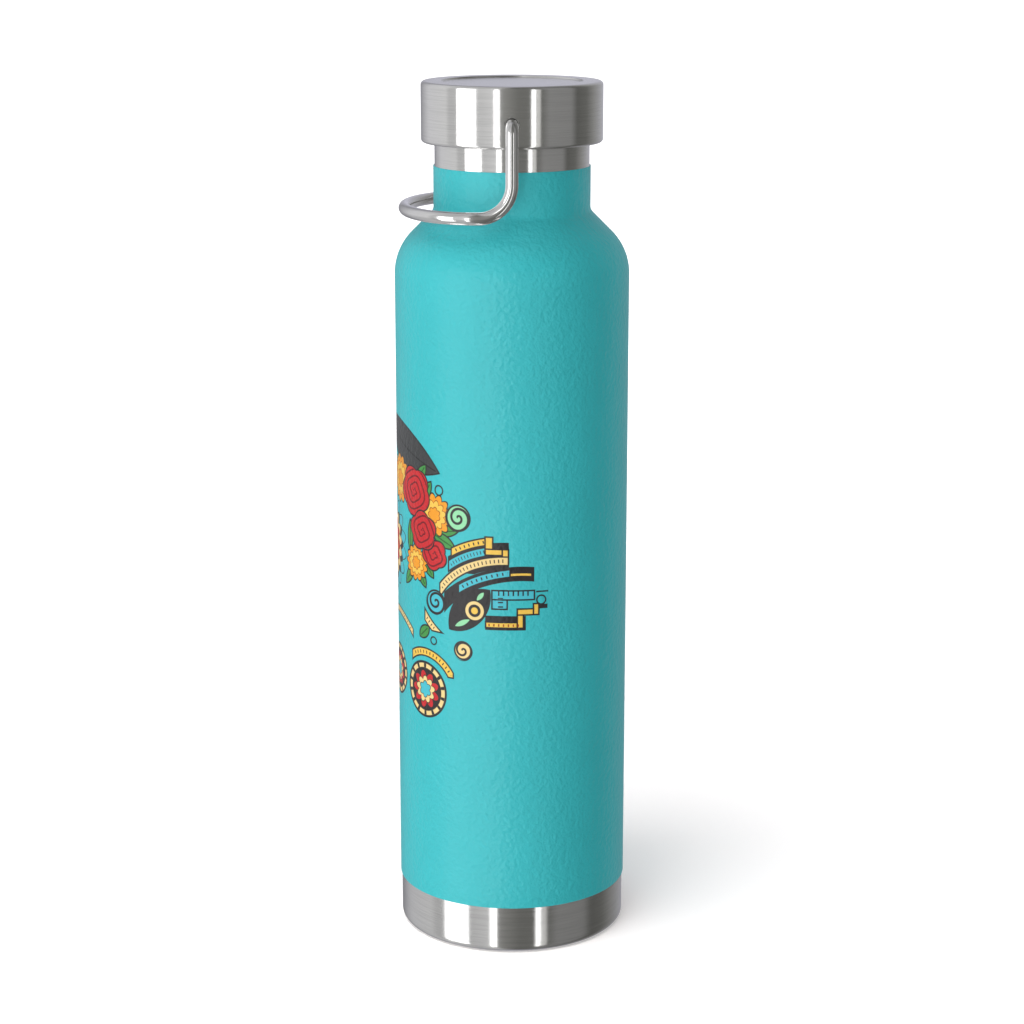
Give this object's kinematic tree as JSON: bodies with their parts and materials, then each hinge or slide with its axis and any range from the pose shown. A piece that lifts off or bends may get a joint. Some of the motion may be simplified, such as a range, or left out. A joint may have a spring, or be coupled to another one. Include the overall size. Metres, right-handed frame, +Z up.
{
  "type": "insulated water bottle",
  "caption": "Double-walled vacuum water bottle with a copper-plated liner, a screw cap with an insulated plug, and a bent wire carrying loop hinged on the cap.",
  "frame": {"origin": "middle of the base, on the surface that the bottle stands on", "axes": "+Z up along the bottle's axis; the loop's pivot runs along Y through the cap, and the loop hangs on the -X side at rest"},
  "size_m": [0.073, 0.073, 0.2711],
  "materials": {
    "turquoise_coat": "satin",
    "brushed_steel": "satin",
    "bright_wire": "polished",
    "copper": "satin",
    "dark_plastic": "satin",
    "silicone": "satin",
    "foam": "matte",
    "getter_metal": "matte",
    "solder_glass": "gloss"
  },
  "bodies": {
    "bottle": {"powder_coat": "turquoise_coat", "outer_wall": "brushed_steel", "inner_wall": "brushed_steel", "inner_base": "brushed_steel", "copper_plating": "copper", "base_pan": "brushed_steel", "base_cover": "brushed_steel", "getter_capsule": "getter_metal", "getter_holder": "brushed_steel", "vacuum_port_seal": "solder_glass"},
    "cap_seal": {"neck_gasket": "silicone"},
    "cap": {"cap_shell": "brushed_steel", "cap_core": "dark_plastic", "core_upper": "dark_plastic", "cap_insulation": "foam", "plug_cover": "dark_plastic"},
    "handle": {"bail_handle": "bright_wire"}
  },
  "joints": [
    {"name": "cap_rise", "type": "slide", "parent": "bottle", "child": "cap_seal", "axis": [0, 0, 1], "range_m": [0, 0.032]},
    {"name": "cap_turn", "type": "hinge", "parent": "cap_seal", "child": "cap", "pos_m": [0, 0, 0.25985], "axis": [0, 0, 1], "range_deg": [0, 1440]},
    {"name": "bail_swing", "type": "hinge", "parent": "cap", "child": "handle", "pos_m": [0, 0, 0.25985], "axis": [0, 1, 0], "range_deg": [-5.5, 264.5]}
  ],
  "couplings": [
    {"joint": "cap_rise", "follows": "cap_turn", "m_per_rad": 0.0012732}
  ]
}
